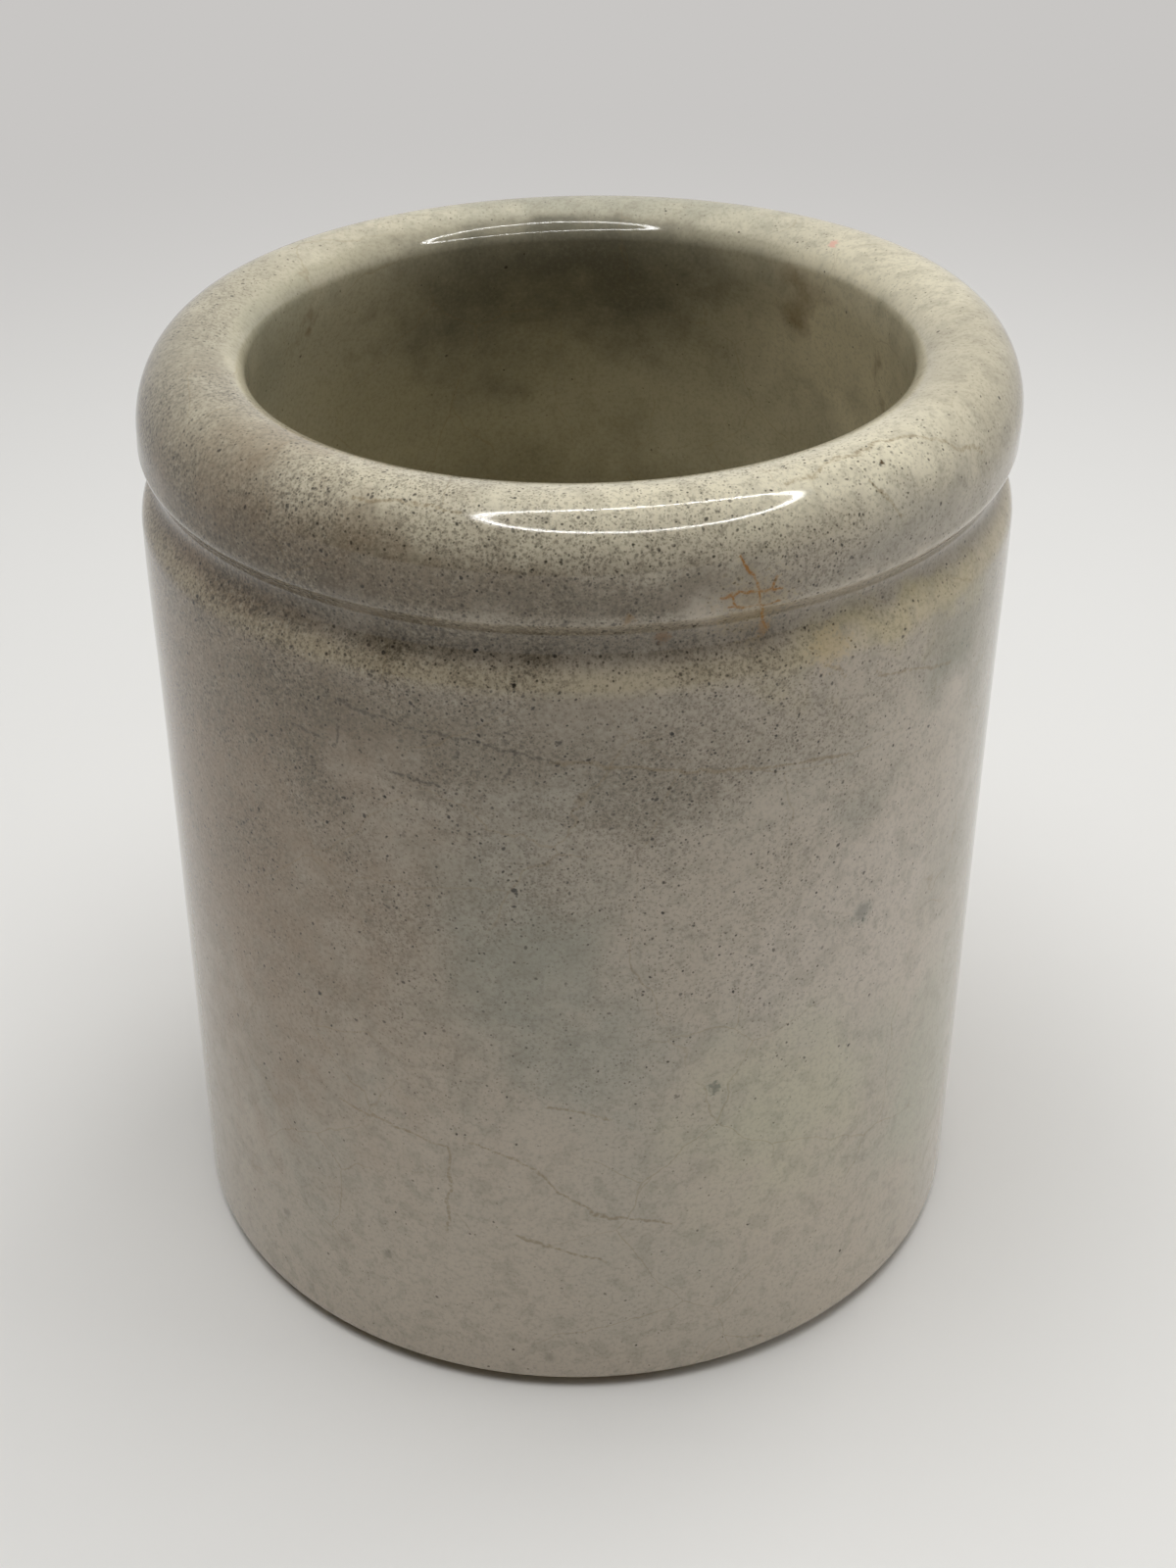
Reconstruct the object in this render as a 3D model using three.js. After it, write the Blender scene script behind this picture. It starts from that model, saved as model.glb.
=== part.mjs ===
// Stoneware preserve jar: a thrown clay body under a fused glaze coat.
// Millimetres, +Z up. The origin is the centre of the foot, on the surface that the jar stands on.
// Every surface is turned about the jar's own axis. The glaze follows the clay at a constant distance,
// so one outline, drawn at two insets, gives both pieces.

import * as THREE from 'three';

// Body, measured over the glaze
const HEIGHT = 99; // foot to the crest of the rim
const WALL_RADIUS = 42.5; // outside of the straight wall
const WALL_THICKNESS = 7.5;
const FLOOR_HEIGHT = 9; // inside of the floor above the foot
const INNER_CORNER_RADIUS = 6; // hollow between the floor and the inside of the wall

// Rolled rim: an oval crown over a short upright face, with a lip that narrows the mouth
const RIM_SETBACK = 0.12; // the rim's face lies this far inside the wall line
const CREST_SETBACK = 5.5; // the crest lies this far inside the wall line
const CROWN_DROP = 7.1; // crest down to the rim's widest point
const RIM_FACE_HEIGHT = 1.7;
const RIM_EDGE_RADIUS = 1.9; // the face turns under into the groove
const LIP_DROP = 3.2; // crest down to the narrowest point of the mouth
const LIP_OVERHANG = 3.1; // the lip stands this far inside the wall's inner face
const LIP_UNDER_RADIUS = 20; // the lip turns back towards the wall
const LIP_HOLLOW_RADIUS = 112; // long hollow that leads from the wall up to the lip

// String groove under the rim, for tying down a cover
const GROOVE_DEPTH = 1.6; // below the wall line
const GROOVE_RADIUS = 3;
const SHOULDER_RADIUS = 4.6; // round edge between the groove and the wall

// Foot
const FOOT_ROUND_RADIUS = 1.3;
const FOOT_TURN = THREE.MathUtils.degToRad(60); // the edge turns under by this angle, and the glaze stops there
const FOOT_BEVEL_HEIGHT = 1; // glaze line above the ground
const FOOT_RING_WIDTH = 6;
const RECESS_DEPTH = 1.2; // the underside inside the ring clears the ground by this much
const RECESS_SLOPE_WIDTH = 2;

// Glaze
const GLAZE_THICKNESS = 0.4;
const BOND_GAP = 0.02; // between the two solids

// Facets
const SEGMENTS = 48; // round the axis
const ARC_STEP = THREE.MathUtils.degToRad(16); // largest turn along an arc of the outline

const QUARTER_TURN = Math.PI / 2;

// Centres of the outline's arcs, in radius and height. They stay put while an inset changes the radii.
const innerWallRadius = WALL_RADIUS - WALL_THICKNESS;
const rimRadius = WALL_RADIUS - RIM_SETBACK;
const crestRadius = WALL_RADIUS - CREST_SETBACK;
const mouthRadius = innerWallRadius - LIP_OVERHANG;
const crown = new THREE.Vector2(crestRadius, HEIGHT - CROWN_DROP);
const lip = new THREE.Vector2(crestRadius, HEIGHT - LIP_DROP);
const rimEdge = new THREE.Vector2(rimRadius - RIM_EDGE_RADIUS, crown.y - RIM_FACE_HEIGHT);
const groove = below(rimEdge, RIM_EDGE_RADIUS + GROOVE_RADIUS, WALL_RADIUS - GROOVE_DEPTH + GROOVE_RADIUS);
const shoulder = below(groove, GROOVE_RADIUS + SHOULDER_RADIUS, WALL_RADIUS - SHOULDER_RADIUS);
const lipUnder = new THREE.Vector2(mouthRadius + LIP_UNDER_RADIUS, lip.y);
const lipHollow = below(lipUnder, LIP_UNDER_RADIUS + LIP_HOLLOW_RADIUS, innerWallRadius - LIP_HOLLOW_RADIUS);
const innerCorner = new THREE.Vector2(innerWallRadius - INNER_CORNER_RADIUS, FLOOR_HEIGHT + INNER_CORNER_RADIUS);
const footRound = new THREE.Vector2(
  WALL_RADIUS - FOOT_ROUND_RADIUS,
  FOOT_BEVEL_HEIGHT + FOOT_ROUND_RADIUS * Math.sin(FOOT_TURN),
);

// Centre of the next arc down: the given distance from this centre, at its own radius from the axis.
function below(centre, distance, radius) {
  const across = radius - centre.x;
  return new THREE.Vector2(radius, centre.y - Math.sqrt(distance ** 2 - across ** 2));
}

// Angle at which one centre sees another.
function towards(from, to) {
  return Math.atan2(to.y - from.y, to.x - from.x);
}

// Points along a round or oval arc, from one angle to the other.
function arc(centre, from, to, across, up = across) {
  const steps = Math.max(1, Math.ceil(Math.abs(to - from) / ARC_STEP));
  return Array.from({ length: steps + 1 }, (_, i) => {
    const angle = from + ((to - from) * i) / steps;
    return new THREE.Vector2(centre.x + across * Math.cos(angle), centre.y + up * Math.sin(angle));
  });
}

// Outline from the glaze line at the foot, up the outside, over the rim and down to the middle of the floor.
// The inset moves it into the material: rounded edges get tighter and hollows wider.
function outline(inset) {
  const intoShoulder = towards(groove, shoulder) + 2 * Math.PI;
  const intoHollow = towards(lipUnder, lipHollow) + 2 * Math.PI;
  return [
    ...arc(footRound, -FOOT_TURN, 0, FOOT_ROUND_RADIUS - inset),
    ...arc(shoulder, 0, towards(shoulder, groove), SHOULDER_RADIUS - inset),
    ...arc(groove, intoShoulder, towards(groove, rimEdge), GROOVE_RADIUS + inset).slice(1),
    ...arc(rimEdge, towards(rimEdge, groove), 0, RIM_EDGE_RADIUS - inset).slice(1),
    ...arc(crown, 0, QUARTER_TURN, rimRadius - crestRadius - inset, CROWN_DROP - inset),
    ...arc(lip, QUARTER_TURN, Math.PI, crestRadius - mouthRadius - inset, LIP_DROP - inset).slice(1),
    ...arc(lipUnder, Math.PI, intoHollow, LIP_UNDER_RADIUS - inset).slice(1),
    ...arc(lipHollow, towards(lipHollow, lipUnder), 0, LIP_HOLLOW_RADIUS + inset).slice(1),
    ...arc(innerCorner, 0, -QUARTER_TURN, INNER_CORNER_RADIUS + inset),
    new THREE.Vector2(0, FLOOR_HEIGHT - inset),
  ];
}

// The bare underside of the clay, from the axis out over the recess and the foot ring to the bevel.
function underside(glazeLine) {
  const ringOuter = glazeLine.x - glazeLine.y * Math.tan(FOOT_TURN);
  const ringInner = ringOuter - FOOT_RING_WIDTH;
  return [
    new THREE.Vector2(0, RECESS_DEPTH),
    new THREE.Vector2(ringInner - RECESS_SLOPE_WIDTH, RECESS_DEPTH),
    new THREE.Vector2(ringInner, 0),
    new THREE.Vector2(ringOuter, 0),
  ];
}

// A solid turned from a closed outline of radius and height, with its axis upright.
function turned(name, profile, material) {
  const geometry = new THREE.LatheGeometry(profile, SEGMENTS).rotateX(QUARTER_TURN);
  const mesh = new THREE.Mesh(geometry, material);
  mesh.name = name;
  return mesh;
}

// Fired clay: cream, matt and slightly gritty where it is left bare under the foot.
function clayBody() {
  const surface = outline(GLAZE_THICKNESS + BOND_GAP);
  const material = new THREE.MeshStandardMaterial({ color: 0xcfc4ae, roughness: 0.85, metalness: 0 });
  return turned('clay_body', [...underside(surface[0]), ...surface], material);
}

// Glaze: one glassy skin over the outside, the rim and the inside, open at the foot.
function glazeCoat() {
  const outside = outline(0);
  const bonded = outline(GLAZE_THICKNESS).reverse();
  const material = new THREE.MeshStandardMaterial({ color: 0xb4ae9c, roughness: 0.12, metalness: 0 });
  return turned('glaze_coat', [...outside, ...bonded, outside[0].clone()], material);
}

const jar = new THREE.Group();
jar.name = 'stoneware_jar';
jar.add(clayBody(), glazeCoat());

export default jar;
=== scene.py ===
# %% [markdown]
# # A glazed stoneware preserve jar
#
# The real jar was thrown on a wheel, dipped in glaze and fired. Two layers matter to the eye: a cream clay
# body, bare only under the foot, and a thin glassy glaze over everything else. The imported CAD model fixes
# the size, so it is loaded as a frame. Both layers are then rebuilt as fine meshes in the same place,
# because a fired pot is never quite true, and because its glaze carries most of its character.

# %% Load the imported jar
import math

import bpy
import numpy as np
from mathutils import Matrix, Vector


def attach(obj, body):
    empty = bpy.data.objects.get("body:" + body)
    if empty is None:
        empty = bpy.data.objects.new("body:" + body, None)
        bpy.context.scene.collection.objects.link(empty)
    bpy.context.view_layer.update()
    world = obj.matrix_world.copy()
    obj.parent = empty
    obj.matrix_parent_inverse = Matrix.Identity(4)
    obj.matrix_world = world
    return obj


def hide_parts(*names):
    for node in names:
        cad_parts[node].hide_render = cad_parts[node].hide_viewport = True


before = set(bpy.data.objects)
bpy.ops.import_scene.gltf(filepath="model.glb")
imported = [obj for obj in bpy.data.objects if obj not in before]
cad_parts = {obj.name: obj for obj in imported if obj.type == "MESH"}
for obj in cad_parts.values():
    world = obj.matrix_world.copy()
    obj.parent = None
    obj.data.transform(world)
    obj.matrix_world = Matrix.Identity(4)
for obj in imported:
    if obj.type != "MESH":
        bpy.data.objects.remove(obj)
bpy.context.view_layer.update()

MM = 0.001
print("CAD nodes:", ", ".join(sorted(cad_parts)))

# %% [markdown]
# ## The camera
#
# A jar seen from above at close range tapers strongly towards its foot, so the lens, the distance and the
# pitch all show in its outline. They could be guessed by eye, but here they were fitted to the ovals of the
# rim and the foot. A small sideways shift of the lens puts the jar a little left of the middle.

# %% Set up the camera
PHOTO_LONG_SIDE = 1600  # pixels
FOCAL_PIXELS = 2374.6
SENSOR_MM = 36.0
CAMERA_DISTANCE = 209.9 * MM
CAMERA_HEIGHT = 182.4 * MM
CAMERA_PITCH = math.radians(32.9)
JAR_LEFT_OF_MIDDLE = 11.8  # pixels
NEAR_CLIP = 10 * MM

scene = bpy.context.scene
scene.view_settings.view_transform = "Standard"
camera_data = bpy.data.cameras.new("camera")
camera_data.sensor_width = SENSOR_MM
camera_data.lens = FOCAL_PIXELS * SENSOR_MM / PHOTO_LONG_SIDE
camera_data.shift_x = JAR_LEFT_OF_MIDDLE / PHOTO_LONG_SIDE
camera_data.clip_start = NEAR_CLIP
camera = bpy.data.objects.new("camera", camera_data)
camera.location = (0.0, -CAMERA_DISTANCE, CAMERA_HEIGHT)
camera.rotation_euler = (math.pi / 2 - CAMERA_PITCH, 0.0, 0.0)
scene.collection.objects.link(camera)
scene.camera = camera
print(f"Camera: {camera_data.lens:.1f} mm lens, {math.degrees(CAMERA_PITCH):.1f} degrees down")

# %% [markdown]
# ## The outline
#
# A potter shapes the jar with a rib held against the turning clay, so every form on it is one outline swept
# round the axis: the foot, the wall, the string groove under the rim, the rolled rim and the hollow inside.
# It could be drawn by eye with a curve. It is built from the arcs of the CAD model instead, with finer
# steps, so that the sizes stay exact and every arc still runs smoothly into the next.

# %% Sizes of the jar in millimetres
HEIGHT = 99.0  # foot to the crest of the rim
WALL_RADIUS = 42.5
INNER_WALL_RADIUS = 35.0
FLOOR_HEIGHT = 9.0
INNER_CORNER_RADIUS = 6.0
RIM_RADIUS = 42.38
CREST_RADIUS = 37.0
MOUTH_RADIUS = 31.9
CROWN_DROP = 7.1  # crest down to the rim's widest point
RIM_FACE_HEIGHT = 1.7
RIM_EDGE_RADIUS = 1.9  # where the rim turns under into the groove
LIP_DROP = 3.2  # crest down to the narrowest point of the mouth
LIP_UNDER_RADIUS = 20.0
LIP_HOLLOW_RADIUS = 112.0
GROOVE_DEPTH = 1.6
GROOVE_RADIUS = 3.0
SHOULDER_RADIUS = 4.6
FOOT_ROUND_RADIUS = 1.3
FOOT_TURN = math.radians(60)  # the edge turns under by this angle
FOOT_BEVEL_HEIGHT = 1.0  # glaze line above the table
GLAZE_THICKNESS = 0.4
BOND_GAP = 0.02  # between the glaze and the clay


def below(centre, distance, radius):
    """Centre of the next arc down, at its own radius from the axis."""
    return (radius, centre[1] - math.sqrt(distance**2 - (radius - centre[0]) ** 2))


crown = (CREST_RADIUS, HEIGHT - CROWN_DROP)
lip = (CREST_RADIUS, HEIGHT - LIP_DROP)
rim_edge = (RIM_RADIUS - RIM_EDGE_RADIUS, crown[1] - RIM_FACE_HEIGHT)
groove = below(rim_edge, RIM_EDGE_RADIUS + GROOVE_RADIUS, WALL_RADIUS - GROOVE_DEPTH + GROOVE_RADIUS)
shoulder = below(groove, GROOVE_RADIUS + SHOULDER_RADIUS, WALL_RADIUS - SHOULDER_RADIUS)
lip_under = (MOUTH_RADIUS + LIP_UNDER_RADIUS, lip[1])
lip_hollow = below(lip_under, LIP_UNDER_RADIUS + LIP_HOLLOW_RADIUS, INNER_WALL_RADIUS - LIP_HOLLOW_RADIUS)
inner_corner = (INNER_WALL_RADIUS - INNER_CORNER_RADIUS, FLOOR_HEIGHT + INNER_CORNER_RADIUS)
foot_round = (WALL_RADIUS - FOOT_ROUND_RADIUS, FOOT_BEVEL_HEIGHT + FOOT_ROUND_RADIUS * math.sin(FOOT_TURN))
print(f"Groove centre {groove[1]:.2f} mm up, shoulder {shoulder[1]:.2f} mm up")

# %% Draw the outline at any depth below the glaze
ARC_STEP = math.radians(5)
LONGEST_STEP = 2.5


def towards(start, end):
    """Angle at which one centre sees another."""
    return math.atan2(end[1] - start[1], end[0] - start[0])


def arc(centre, start, end, across, up=None):
    """Points along a round or oval arc."""
    up = across if up is None else up
    turn = abs(end - start)
    steps = math.ceil(max(turn / ARC_STEP, turn * max(across, up) / LONGEST_STEP))
    angle = np.linspace(start, end, steps + 1)
    return np.column_stack([centre[0] + across * np.cos(angle), centre[1] + up * np.sin(angle)])


def straight(start, end):
    """Points along a straight stretch, without its ends."""
    steps = math.ceil(np.hypot(*np.subtract(end, start)) / LONGEST_STEP)
    return np.linspace(start, end, steps + 1)[1:-1]


def outline(inset):
    """From the glaze line at the foot, up the outside, over the rim and down to the middle of the floor."""
    into_shoulder = towards(groove, shoulder) + 2 * math.pi
    into_hollow = towards(lip_under, lip_hollow) + 2 * math.pi
    foot = arc(foot_round, -FOOT_TURN, 0, FOOT_ROUND_RADIUS - inset)
    top_of_wall = arc(shoulder, 0, towards(shoulder, groove), SHOULDER_RADIUS - inset)
    string_groove = arc(groove, into_shoulder, towards(groove, rim_edge), GROOVE_RADIUS + inset)
    under_rim = arc(rim_edge, towards(rim_edge, groove), 0, RIM_EDGE_RADIUS - inset)
    outer_rim = arc(crown, 0, math.pi / 2, RIM_RADIUS - CREST_RADIUS - inset, CROWN_DROP - inset)
    inner_rim = arc(lip, math.pi / 2, math.pi, CREST_RADIUS - MOUTH_RADIUS - inset, LIP_DROP - inset)
    under_lip = arc(lip_under, math.pi, into_hollow, LIP_UNDER_RADIUS - inset)
    hollow = arc(lip_hollow, towards(lip_hollow, lip_under), 0, LIP_HOLLOW_RADIUS + inset)
    corner = arc(inner_corner, 0, -math.pi / 2, INNER_CORNER_RADIUS + inset)
    middle = np.array([[0.0, FLOOR_HEIGHT - inset]])
    wall = straight(foot[-1], top_of_wall[0])
    inner_wall = straight(hollow[-1], corner[0])
    floor = straight(corner[-1], middle[0])
    return np.concatenate([
        foot, wall, top_of_wall, string_groove[1:], under_rim[1:], straight(under_rim[-1], outer_rim[0]),
        outer_rim, inner_rim[1:], under_lip[1:], hollow[1:], inner_wall, corner, floor, middle,
    ])


print(f"The outline has {len(outline(0))} points")

# %% [markdown]
# ## What the wheel and the kiln did
#
# A perfect lathe form reads as plastic. The real rim sits slightly higher on one side and leans a little,
# the wall swells by a hair below the groove, and no ring is a true circle. These could be sculpted, but the
# offsets are small and smooth, so a short function moves every point of both layers alike. Because it moves
# them alike, the glaze stays on the clay everywhere.

# %% Warp a true form into a fired one
GROOVE_LEVEL = 87.0
TILT_AT_GROOVE = 0.0103  # rise per millimetre to the right
TILT_AT_CREST = 0.0176
RIM_LEAN = 0.46  # to the right, in millimetres like the rest
SWELL = 0.13
SWELL_LEVEL = 77.0
SWELL_SPREAD = 9.0
OVAL = 0.10
OVAL_TURN = 0.9  # radians
THREE_LOBES = 0.05
LOBES_TURN = -1.7
BACK_DIP = 0.4


def fired(points):
    """Moves points, in millimetres, by what throwing and firing did to the jar."""
    x, y, z = points.T
    up_wall = np.clip(z / GROOVE_LEVEL, 0, 1)
    up_rim = np.clip((z - GROOVE_LEVEL) / (HEIGHT - GROOVE_LEVEL), 0, 1)
    angle = np.arctan2(y, x)
    swell = SWELL * np.exp(-(((z - SWELL_LEVEL) / SWELL_SPREAD) ** 2))
    lobes = OVAL * np.cos(2 * angle + OVAL_TURN) + THREE_LOBES * np.cos(3 * angle + LOBES_TURN)
    grow = 1 + (swell + lobes * up_wall) / WALL_RADIUS
    tilt = TILT_AT_GROOVE * up_wall + (TILT_AT_CREST - TILT_AT_GROOVE) * up_rim
    dip = BACK_DIP * up_rim * np.clip(np.sin(angle), 0, 1) ** 2
    return np.column_stack([x * grow + RIM_LEAN * up_rim, y * grow, z + tilt * x - dip])


edges = fired(np.array([[CREST_RADIUS, 0, HEIGHT], [-CREST_RADIUS, 0, HEIGHT]]))
print(f"The rim is {edges[0, 2] - edges[1, 2]:.2f} mm higher on the right")

# %% [markdown]
# ## Turning the two layers
#
# Blender's Spin tool or a Screw modifier could turn the outline. Building the rings directly is as short, and
# it lets the warp act on every vertex and closes each layer exactly where its outline meets the axis.

# %% Turn an outline into a closed mesh
SEGMENTS = 256
ON_AXIS = 1e-6
SHARP_EDGE = math.radians(35)


def turn(name, profile):
    """Sweeps a closed profile of radius and height round the axis."""
    angle = np.linspace(0, 2 * math.pi, SEGMENTS, endpoint=False)
    points, rings = [], []
    for radius, height in profile:
        count = 1 if radius < ON_AXIS else SEGMENTS
        start = sum(len(ring) for ring in rings)
        rings.append(np.arange(start, start + count))
        circle = np.column_stack([radius * np.cos(angle), radius * np.sin(angle), np.full(SEGMENTS, height)])
        points.append(circle[:count])
    faces = []
    for low, high in zip(rings, rings[1:] + rings[:1]):
        if len(low) == 1 and len(high) == 1:
            continue
        around = np.arange(SEGMENTS)
        ahead = (around + 1) % SEGMENTS
        if len(low) == 1:
            strip = np.column_stack([np.full(SEGMENTS, low[0]), high[ahead], high[around]])
        elif len(high) == 1:
            strip = np.column_stack([low[around], low[ahead], np.full(SEGMENTS, high[0])])
        else:
            strip = np.column_stack([low[around], low[ahead], high[ahead], high[around]])
        faces.extend(strip.tolist())
    mesh = bpy.data.meshes.new(name)
    mesh.from_pydata(fired(np.concatenate(points)) * MM, [], faces)
    mesh.shade_smooth()
    mesh.set_sharp_from_angle(angle=SHARP_EDGE)
    piece = bpy.data.objects.new(name, mesh)
    scene.collection.objects.link(piece)
    print(f"{name}: {len(mesh.polygons)} faces")
    return piece


print("Each ring has", SEGMENTS, "points")

# %% Turn the glaze coat
outer_skin = outline(0)
bonded_skin = outline(GLAZE_THICKNESS)[::-1]
fired_glaze = turn("fired_glaze", np.concatenate([outer_skin, bonded_skin]))
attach(fired_glaze, "root")
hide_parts("glaze_coat")

# %% [markdown]
# ## The clay body
#
# The clay shows only where the jar stands: a foot ring, wiped clean of glaze so that it doesn't stick to the
# kiln shelf, round a shallow turned recess. The turning tool leaves fine rings there. A bump could draw them,
# but they are shaped in the outline, because a hand feels them and a low light shows them.

# %% Turn the clay body
FOOT_RING_WIDTH = 6.0
RECESS_DEPTH = 1.2
RECESS_SLOPE_WIDTH = 2.0
TURNING_PITCH = 2.4
TURNING_DEPTH = 0.07
RECESS_POINTS = 80

clay_skin = outline(GLAZE_THICKNESS + BOND_GAP)
ring_outer = clay_skin[0, 0] - clay_skin[0, 1] * math.tan(FOOT_TURN)
ring_inner = ring_outer - FOOT_RING_WIDTH
recess_edge = ring_inner - RECESS_SLOPE_WIDTH
across = np.linspace(0, recess_edge, RECESS_POINTS)
turning_rings = TURNING_DEPTH * (np.cos(2 * math.pi * across / TURNING_PITCH) - 1) / 2
recess = np.column_stack([across, RECESS_DEPTH + turning_rings])
ring = np.array([[ring_inner, 0.0], [ring_outer, 0.0]])
slope = straight(recess[-1], ring[0])
bevel = straight(ring[1], clay_skin[0])
thrown_clay = turn("thrown_clay", np.concatenate([recess, slope, ring, bevel, clay_skin]))
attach(thrown_clay, "root")
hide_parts("clay_body")

# %% [markdown]
# ## Colours and nodes
#
# Colours are written the way a paint chart gives them, as sRGB hex values, and one function turns them into
# the linear numbers that Blender's shaders work in. One more function adds a node with its settings and
# links, so each finish below reads as a list of layers. A new material starts with no nodes at all.

# %% Three helpers for every finish
MID_GREY = "#808080"


def colour(code):
    """Linear RGBA from an sRGB hex value."""
    parts = [int(code[i : i + 2], 16) / 255 for i in (1, 3, 5)]
    linear = [v / 12.92 if v <= 0.04045 else ((v + 0.055) / 1.055) ** 2.4 for v in parts]
    return (*linear, 1.0)


def add(tree, kind, sockets=None, out=0, **settings):
    """Adds a node, sets it, fills its sockets with links or values and gives the chosen output or outputs."""
    made = tree.nodes.new("ShaderNode" + kind)
    for name, value in settings.items():
        setattr(made, name, value)
    for socket, value in (sockets or {}).items():
        if isinstance(value, bpy.types.NodeSocket):
            tree.links.new(value, made.inputs[socket])
        else:
            made.inputs[socket].default_value = value
    if not made.outputs:
        return made
    return [made.outputs[o] for o in out] if isinstance(out, tuple) else made.outputs[out]


def empty_material(name):
    """A new material, with no nodes yet."""
    made = bpy.data.materials.new(name)
    made.use_nodes = True
    made.node_tree.nodes.clear()
    return made


MIX_A, MIX_B, MIX_RESULT = 6, 7, 2  # the colour sockets of a Mix node
print(f"The grey {MID_GREY} is {colour(MID_GREY)[0]:.3f} in linear light")

# %% [markdown]
# ## The glaze: where on the jar
#
# The finish is an iron-specked stoneware glaze: a clear glass over cream clay, dipped and fired, with iron
# grains that bled into it and long years of stains below its crazed surface. Some of that covers the whole
# jar and some sits in one place. It could be painted on an unwrapped sheet, but a finish worked out from the
# form stays sharp from close by. So the material works in millimetres, and it also unrolls the outside into
# two lengths, round the wall and up over the rim, on which single lines can be drawn. Heights in the glaze
# start at its own lower edge, a millimetre above the table.

# %% Measure the surface in millimetres
ROLL_RADIUS = 6.2  # mean radius of the rolled rim

# Gives the eye a wet gloss over a cloudy, peppered cream
glaze = empty_material("iron_specked_stoneware_glaze")
skin = glaze.node_tree

object_place = add(skin, "TexCoord", out="Object")
per_mm = (1 / MM, 1 / MM, 1 / MM)
to_glaze_line = (0.0, 0.0, -FOOT_BEVEL_HEIGHT)
place = add(skin, "VectorMath", {0: object_place, 1: per_mm, 2: to_glaze_line}, operation="MULTIPLY_ADD")
x, y, z = add(skin, "SeparateXYZ", {0: place}, out=("X", "Y", "Z"))
flat = add(skin, "CombineXYZ", {"X": x, "Y": y})
radius = add(skin, "VectorMath", {0: flat}, operation="LENGTH", out="Value")
towards_front = add(skin, "Math", {0: y, 1: -1.0}, operation="MULTIPLY")
front_angle = add(skin, "Math", {0: x, 1: towards_front}, operation="ARCTAN2")
around = add(skin, "Math", {0: front_angle, 1: WALL_RADIUS}, operation="MULTIPLY")

face_top = crown[1] - FOOT_BEVEL_HEIGHT
above_face = add(skin, "Math", {0: z, 1: face_top}, operation="SUBTRACT")
past_crest = add(skin, "Math", {0: radius, 1: CREST_RADIUS}, operation="SUBTRACT")
roll_angle = add(skin, "Math", {0: above_face, 1: past_crest}, operation="ARCTAN2")
roll_turn = add(skin, "Math", {0: roll_angle, 1: 0.0}, operation="MAXIMUM")
below_roll = add(skin, "Math", {0: z, 1: face_top}, operation="MINIMUM")
girth = add(skin, "Math", {0: roll_turn, 1: ROLL_RADIUS, 2: below_roll}, operation="MULTIPLY_ADD")
unrolled = add(skin, "CombineXYZ", {"X": around, "Y": girth})
print("The wall unrolls to", round(2 * math.pi * WALL_RADIUS), "mm round")

# %% [markdown]
# ## The glaze: its ground colour
#
# On the rolled rim the glaze is a clean yellowish cream. Down the wall it turns to a pinkish grey, clouded in
# soft patches where stains have crept under it, and inside the mouth it has yellowed. A plain mix of these
# colours would look airbrushed, so cloud noise of two sizes breaks up each change.

# %% Cream on the rim, pinkish grey on the wall, yellow inside
CREAM = "#e6dec3"
WALL_GREY = "#c9bdac"
CLOUD_GREY = "#b4b0a2"
INSIDE_YELLOW = "#cdc5ab"
INSIDE_OLIVE = "#9d987e"
LARGE_CLOUD = 17.0
SMALL_CLOUD = 3.5
CREAM_DOWN_TO = 101.5  # up the unrolled outside, before the clouds push it down
WALL_UP_TO = 93.0
CHANGE_WANDER = 6.0
YELLOW_BELOW = 97.9  # heights, before the clouds push them down
YELLOW_FULL = 96.9
YELLOW_WANDER = 1.2
RGBA = {"out": MIX_RESULT, "data_type": "RGBA"}
SMOOTH = {"interpolation_type": "SMOOTHSTEP"}

large_cloud = add(skin, "TexNoise", {"Vector": place, "Scale": 1 / LARGE_CLOUD, "Detail": 3.0}, out="Fac")
small_cloud = add(skin, "TexNoise", {"Vector": place, "Scale": 1 / SMALL_CLOUD, "Detail": 3.0}, out="Fac")
ragged = add(skin, "Math", {0: small_cloud, 1: CHANGE_WANDER, 2: girth}, operation="MULTIPLY_ADD")
cream_to_grey = {"From Min": CREAM_DOWN_TO, "From Max": WALL_UP_TO}
down_wall = add(skin, "MapRange", {"Value": ragged, **cream_to_grey}, **SMOOTH)
ground = add(skin, "Mix", {0: down_wall, MIX_A: colour(CREAM), MIX_B: colour(WALL_GREY)}, **RGBA)
patches = {"From Min": 0.45, "From Max": 0.8, "To Max": 0.5}
cloudy = add(skin, "MapRange", {"Value": large_cloud, **patches}, **SMOOTH)
ground = add(skin, "Mix", {0: cloudy, MIX_A: ground, MIX_B: colour(CLOUD_GREY)}, **RGBA)

in_mouth = add(skin, "Math", {0: radius, 1: CREST_RADIUS}, operation="LESS_THAN")
ragged_height = add(skin, "Math", {0: small_cloud, 1: YELLOW_WANDER, 2: z}, operation="MULTIPLY_ADD")
lip_edge = {"From Min": YELLOW_BELOW, "From Max": YELLOW_FULL}
below_lip = add(skin, "MapRange", {"Value": ragged_height, **lip_edge}, **SMOOTH)
inside = add(skin, "Math", {0: in_mouth, 1: below_lip}, operation="MULTIPLY")
outside = add(skin, "Math", {0: 1.0, 1: inside}, operation="SUBTRACT")
patches = {"From Min": 0.35, "From Max": 0.72, "To Max": 0.4}
olive = add(skin, "MapRange", {"Value": small_cloud, **patches}, **SMOOTH)
yellow = colour(INSIDE_YELLOW)
inside_ground = add(skin, "Mix", {0: olive, MIX_A: yellow, MIX_B: colour(INSIDE_OLIVE)}, **RGBA)
ground = add(skin, "Mix", {0: inside, MIX_A: ground, MIX_B: inside_ground}, **RGBA)
print("Clouds of", LARGE_CLOUD, "and", SMALL_CLOUD, "mm")

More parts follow.
